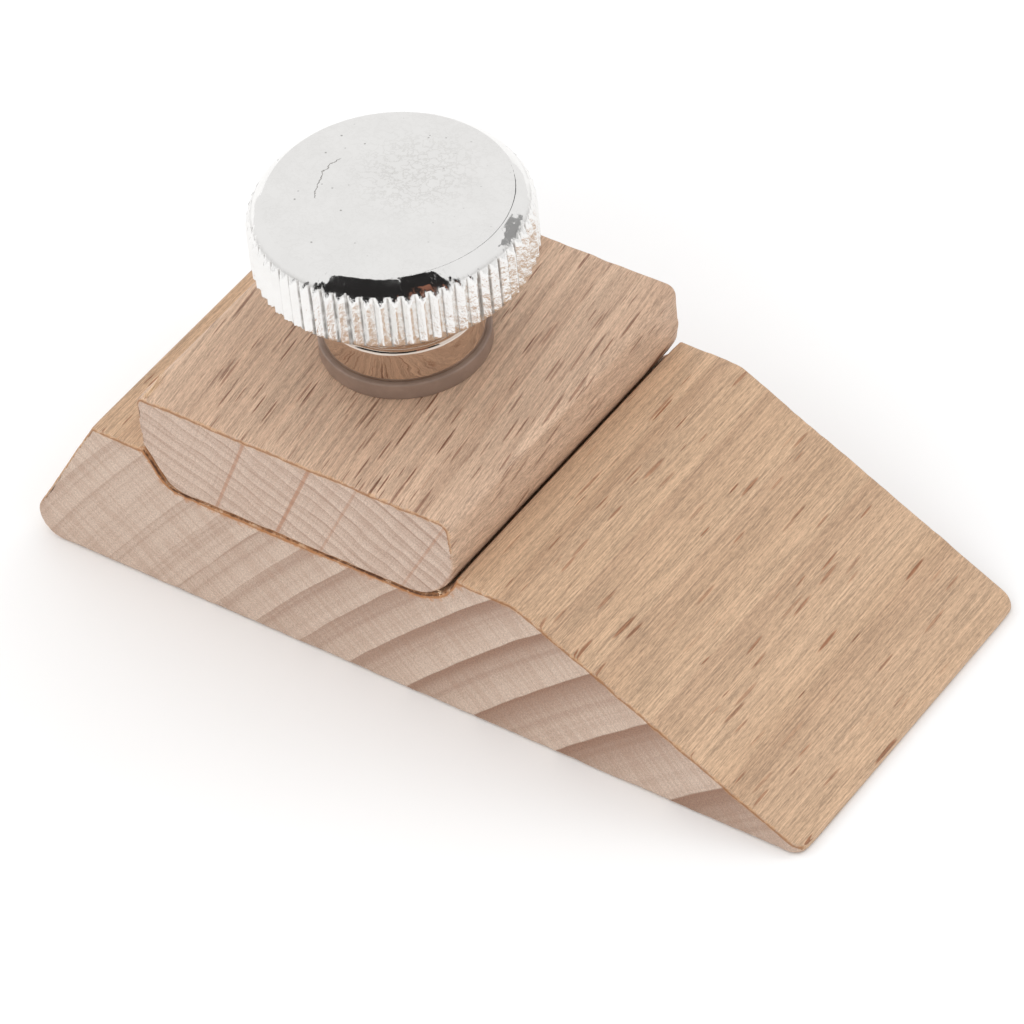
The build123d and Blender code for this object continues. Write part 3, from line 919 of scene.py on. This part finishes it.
def stage_material(name, colour, roughness):
    material, w, shader, place = finish_of(name)
    surface(w, shader, Base_Color=colour, Roughness=roughness, Specular_IOR_Level=0.2)
    return material


def flat_card(name, corners, material):
    mesh = bpy.data.meshes.new(name)
    mesh.from_pydata([tuple(c) for c in corners], [], [(0, 1, 2, 3)])
    mesh.materials.append(material)
    card = bpy.data.objects.new(name, mesh)
    bpy.context.scene.collection.objects.link(card)
    return card


pale = stage_material("pale floor", (0.93, 0.93, 0.93, 1), 0.7)
flat_card("floor", [(-3, -3, -0.0001), (3, -3, -0.0001), (3, 3, -0.0001), (-3, 3, -0.0001)], pale)

aim = Vector((7.472, -10.168, 20.0)) * MM
azimuth, elevation, roll = (math.radians(v) for v in (38.450, 43.120, 6.050))
away = Vector((math.sin(azimuth) * math.cos(elevation), -math.cos(azimuth) * math.cos(elevation),
               math.sin(elevation)))
forward = -away
level_right = forward.cross(Vector((0, 0, 1))).normalized()
right = Matrix.Rotation(roll, 3, forward) @ level_right
up = right.cross(forward)
lens = bpy.data.cameras.new("view")
lens.lens = 229.393
lens.sensor_width = 36
lens.clip_start = 0.01
lens.clip_end = 20
camera = bpy.data.objects.new("view", lens)
spot = aim + away * 0.668903
camera.matrix_world = Matrix([(right[k], up[k], -forward[k], spot[k]) for k in range(3)] + [(0, 0, 0, 1)])
bpy.context.scene.collection.objects.link(camera)
bpy.context.scene.camera = camera


def seen_from(turn, rise):
    """Unit vector from the wedge, turn degrees to the right of the camera and rise degrees up."""
    direction, height = azimuth + math.radians(turn), math.radians(rise)
    return Vector((math.sin(direction) * math.cos(height), -math.cos(direction) * math.cos(height),
                   math.sin(height)))


def card_facing(name, turn, low, high, spread, distance, material):
    """A card on a dome round the wedge: turn degrees to the right of the camera, between two heights in
    degrees, and spread degrees wide."""
    corners = [aim + distance * seen_from(turn + side * spread / 2, rise)
               for side, rise in ((-1, low), (1, low), (1, high), (-1, high))]
    return flat_card(name, corners, material)


dark = stage_material("dark card", (0.015, 0.014, 0.014, 1), 0.8)
grey = stage_material("grey card", (0.30, 0.30, 0.30, 1), 0.8)
brown = stage_material("brown card", (0.26, 0.11, 0.07, 1), 0.8)
for card in (card_facing("dark_card_left", -34, 14, 62, 68, 1.0, dark),
             card_facing("dark_card_right", 22, 18, 74, 44, 1.0, dark),
             card_facing("brown_card", 20, 19, 48, 12, 0.72, brown),
             card_facing("grey_card", 106, 12, 32, 26, 1.0, grey),
             card_facing("edge_strip", 148, 25, 86, 16, 1.05, dark)):
    card.visible_camera = False
    card.visible_diffuse = False
    card.visible_shadow = False


def soft_light(name, turn, rise, distance, size, watts, in_reflections=True):
    """A square area light that faces the wedge from turn degrees right of the camera and rise degrees up."""
    lamp = bpy.data.lights.new(name, "AREA")
    lamp.size = size
    lamp.energy = watts
    lamp_object = bpy.data.objects.new(name, lamp)
    place = distance * seen_from(turn, rise)
    lamp_object.visible_glossy = in_reflections
    facing = (Vector((0, 0, 0.02)) - place).to_track_quat("-Z", "Y").to_matrix().to_4x4()
    lamp_object.matrix_world = Matrix.Translation(place) @ facing
    bpy.context.scene.collection.objects.link(lamp_object)
    return lamp_object


soft_light("left softbox", -112, 36, 1.6, 1.2, 4.2, in_reflections=False)
soft_light("left glow", -112, 36, 1.6, 1.2, 0.35)
soft_light("right softbox", 108, 44, 1.6, 0.9, 2.3, in_reflections=False)
soft_light("right glow", 108, 44, 1.6, 0.9, 0.7)
soft_light("top fill", 150, 75, 1.8, 1.2, 2, in_reflections=False)
soft_light("front fill", -20, 35, 1.8, 1.0, 5, in_reflections=False)

world = bpy.data.worlds.new("studio")
world.use_nodes = True
world.node_tree.nodes["Background"].inputs["Color"].default_value = (1, 1, 1, 1)
world.node_tree.nodes["Background"].inputs["Strength"].default_value = 0.9
bpy.context.scene.world = world
bpy.context.scene.view_settings.view_transform = "Standard"
